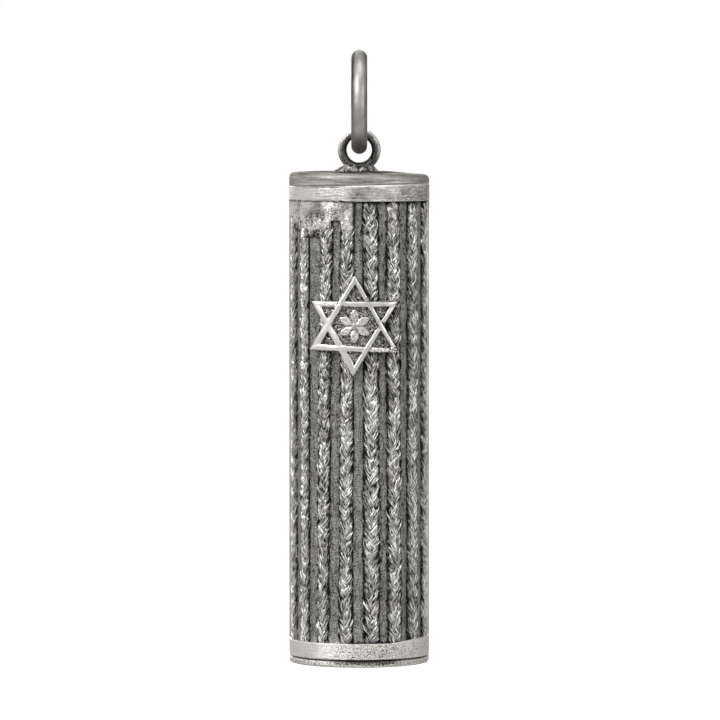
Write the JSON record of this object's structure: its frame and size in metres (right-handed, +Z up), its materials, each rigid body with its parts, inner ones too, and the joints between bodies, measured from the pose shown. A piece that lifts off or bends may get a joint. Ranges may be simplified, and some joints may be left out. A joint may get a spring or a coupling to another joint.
{
  "type": "mezuzah case pendant",
  "caption": "Half-round silver scroll case with plaited cords, a star plaque, a jump ring to hang it by and a pull-out bottom cap that holds the rolled parchment.",
  "frame": {"origin": "where a chain bears, at the top of the jump ring's inside", "axes": "+Z up along the case towards the jump ring, -Y out of the half-round front, +Y out of the flat back, +X to the right as seen from the front"},
  "size_m": [0.0108, 0.0084, 0.0471],
  "materials": {
    "silver": "satin",
    "cord_silver": "satin",
    "dark_silver": "matte",
    "parchment": "matte",
    "clear_film": "gloss"
  },
  "bodies": {
    "jump_ring": {"jump_ring": "silver"},
    "case": {"front_shell": "dark_silver", "back_plate": "silver", "top_plate": "silver", "top_band": "silver", "bottom_band": "silver", "cord_1": "cord_silver", "cord_2": "cord_silver", "cord_3": "cord_silver", "cord_4": "cord_silver", "cord_5": "cord_silver", "cord_6": "cord_silver", "cord_7": "cord_silver", "cord_8": "cord_silver", "star_plate": "dark_silver", "star_frame": "silver", "star_rosette": "silver", "hanging_eye": "silver", "eye_solder": "silver"},
    "bottom_cap": {"bottom_cap": "silver", "cap_collar": "silver"},
    "scroll": {"parchment_scroll": "parchment", "scroll_sleeve": "clear_film"}
  },
  "joints": [
    {"name": "case_swing", "type": "hinge", "parent": "jump_ring", "child": "case", "pos_m": [0, 0, -0.00512], "axis": [1, 0, 0], "range_deg": [-55, 55]},
    {"name": "cap_pull", "type": "slide", "parent": "case", "child": "bottom_cap", "axis": [0, 0, -1], "range_m": [0, 0.036]},
    {"name": "scroll_draw", "type": "slide", "parent": "case", "child": "scroll", "axis": [0, 0, -1], "range_m": [0, 0.036]}
  ],
  "couplings": [
    {"joint": "scroll_draw", "follows": "cap_pull", "ratio": 1}
  ]
}
